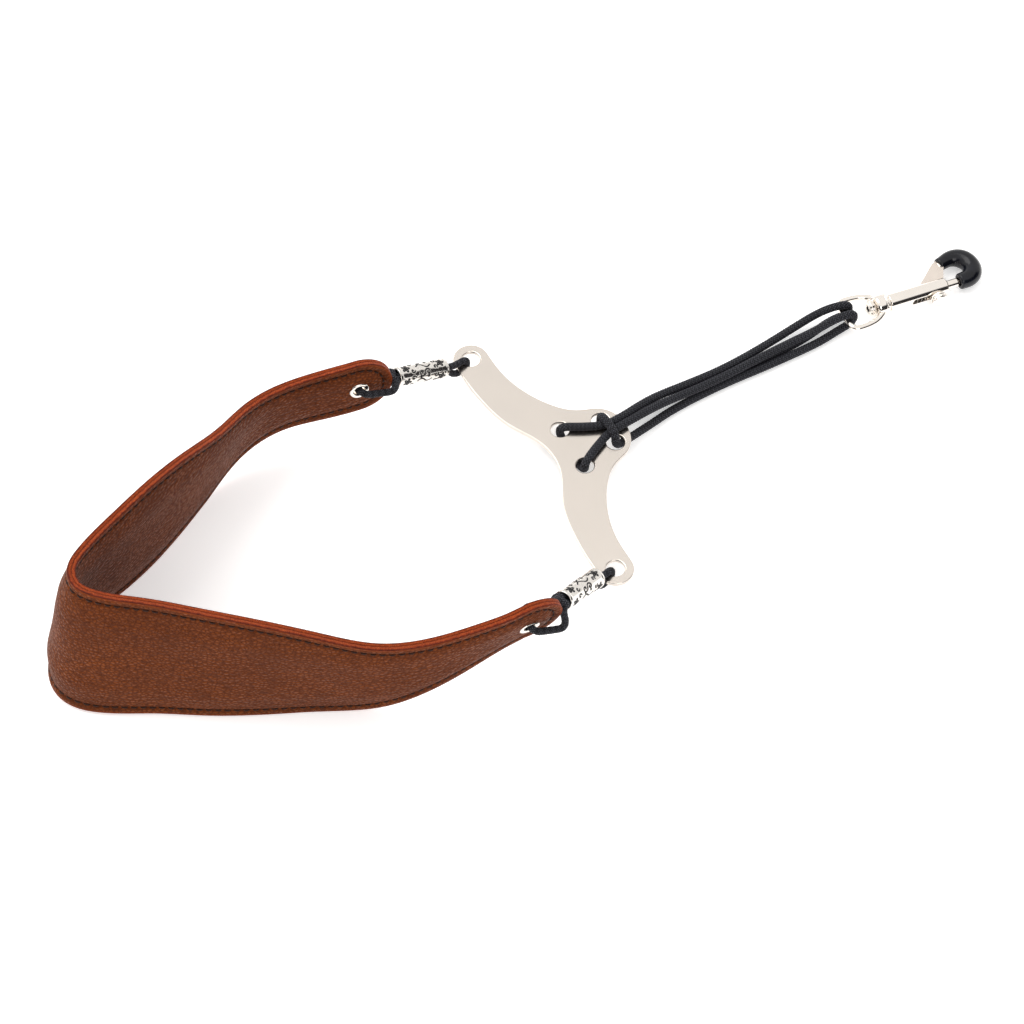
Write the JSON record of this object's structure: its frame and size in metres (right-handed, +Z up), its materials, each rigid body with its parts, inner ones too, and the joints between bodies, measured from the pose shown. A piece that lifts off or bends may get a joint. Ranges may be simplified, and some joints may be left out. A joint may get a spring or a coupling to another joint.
{
  "type": "saxophone neck strap",
  "caption": "Padded leather neck strap with a metal yoke plate, length-adjustable laced cord and a rubber-coated swivel snap hook.",
  "frame": {"origin": "bottom centre of the strap without its free cord, as it lies on a flat surface", "axes": "+X along the strap from the back of the neck pad to the snap hook, +Y across to the left arm, +Z up from the surface it lies on"},
  "size_m": [0.4203, 0.1495, 0.0637],
  "materials": {
    "outer_leather": "pebbled, semi-matte saddle brown",
    "inner_leather": "pebbled, semi-matte saddle brown",
    "foam": "open-cell foam",
    "thread": "dark brown waxed thread",
    "eyelet_metal": "nickel plated",
    "sleeve_metal": "embossed nickel, darkened recesses",
    "yoke_metal": "polished nickel plate",
    "hook_metal": "polished nickel",
    "spring_steel": "bright wire",
    "cord": "black braided polyester",
    "coating": "glossy black dip"
  },
  "bodies": {
    "pad": {"pad_inner_leather": "inner_leather", "pad_outer_leather": "outer_leather", "pad_foam_core": "foam", "pad_edge_stitching": "thread", "eyelet_left": "eyelet_metal", "eyelet_right": "eyelet_metal", "eyelet_washer_left": "eyelet_metal", "eyelet_washer_right": "eyelet_metal"},
    "ties": {"tie_cord_left": "cord", "tie_cord_right": "cord", "tie_knot_left": "cord", "tie_knot_right": "cord"},
    "left_sleeve": {"sleeve_left": "sleeve_metal"},
    "right_sleeve": {"sleeve_right": "sleeve_metal"},
    "yoke": {"yoke_plate": "yoke_metal", "cord_lacing": "cord", "cord_strands": "cord", "cord_knot": "cord"},
    "cord_end": {"cord_bights": "cord"},
    "bow": {"swivel_bow": "hook_metal"},
    "hook": {"hook_body": "hook_metal", "hook_coating": "coating", "swivel_rivet": "hook_metal", "bolt_spring": "spring_steel"},
    "bolt": {"bolt_rod": "hook_metal", "thumb_knob": "hook_metal"}
  },
  "joints": [
    {"name": "tie_swing", "type": "hinge", "parent": "pad", "child": "ties", "pos_m": [-0.0518, 0.0606, 0.0297], "axis": [0.0246, -0.9992, 0.0326], "range_deg": [-30, 50]},
    {"name": "left_sleeve_spin", "type": "hinge", "parent": "ties", "child": "left_sleeve", "pos_m": [-0.0348, 0.0614, 0.0234], "axis": [0.922, 0.0501, -0.3838], "continuous": true},
    {"name": "right_sleeve_spin", "type": "hinge", "parent": "ties", "child": "right_sleeve", "pos_m": [-0.0294, -0.0631, 0.0243], "axis": [0.828, 0.3638, -0.4266], "continuous": true},
    {"name": "yoke_tilt", "type": "hinge", "parent": "ties", "child": "yoke", "pos_m": [-0.0043, 0.007, 0.0079], "axis": [0, -1, 0], "range_deg": [-30, 30], "deforming": ["tie_cord_left", "tie_cord_right"]},
    {"name": "cord_adjust", "type": "slide", "parent": "yoke", "child": "cord_end", "axis": [1, 0, 0], "range_m": [-0.06, 0], "deforming": ["cord_strands"]},
    {"name": "bow_tilt", "type": "hinge", "parent": "cord_end", "child": "bow", "pos_m": [0.1462, 0.0125, 0.0056], "axis": [-0.1219, -0.9925, 0], "range_deg": [-60, 90]},
    {"name": "hook_swivel", "type": "hinge", "parent": "bow", "child": "hook", "pos_m": [0.1462, 0.0125, 0.0056], "axis": [0.9921, -0.1218, -0.0305], "continuous": true},
    {"name": "bolt_slide", "type": "slide", "parent": "hook", "child": "bolt", "axis": [0.9921, -0.1218, -0.0305], "range_m": [-0.0095, 0], "stiffness_N_per_m": 300, "springref_m": 0.006, "deforming": ["bolt_spring"]}
  ]
}
